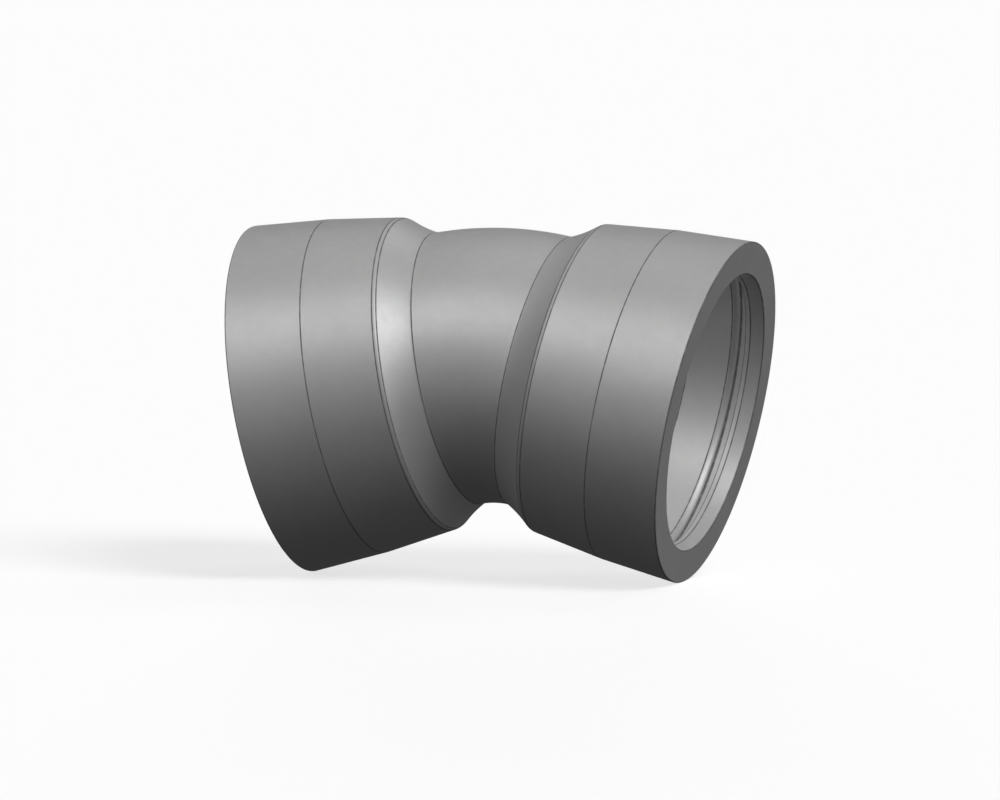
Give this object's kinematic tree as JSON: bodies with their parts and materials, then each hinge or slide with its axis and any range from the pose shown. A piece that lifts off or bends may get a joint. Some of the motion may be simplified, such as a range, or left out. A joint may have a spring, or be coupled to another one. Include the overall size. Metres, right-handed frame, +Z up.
{
  "type": "double-socket pipe bend",
  "caption": "Cast iron pipe bend that turns a buried water or sewer main by 22.5 degrees, with a push-on socket at each end of a short bent body.",
  "frame": {"origin": "midway between the two sockets, level with the lowest points of the two mouth rims; the two socket axes cross 134.2 mm above it", "axes": "+X from socket_a to socket_b, +Z up through the outside of the bend, so that it stands like an arch in the XZ plane and each socket dips by 11.25 degrees, +Y across the bend"},
  "size_m": [0.3214, 0.2172, 0.2211],
  "materials": {
    "cast_iron": "as cast, even mid grey, matt with a faint satin"
  },
  "bodies": {
    "root": {"bend_casting": "cast_iron"}
  },
  "joints": []
}
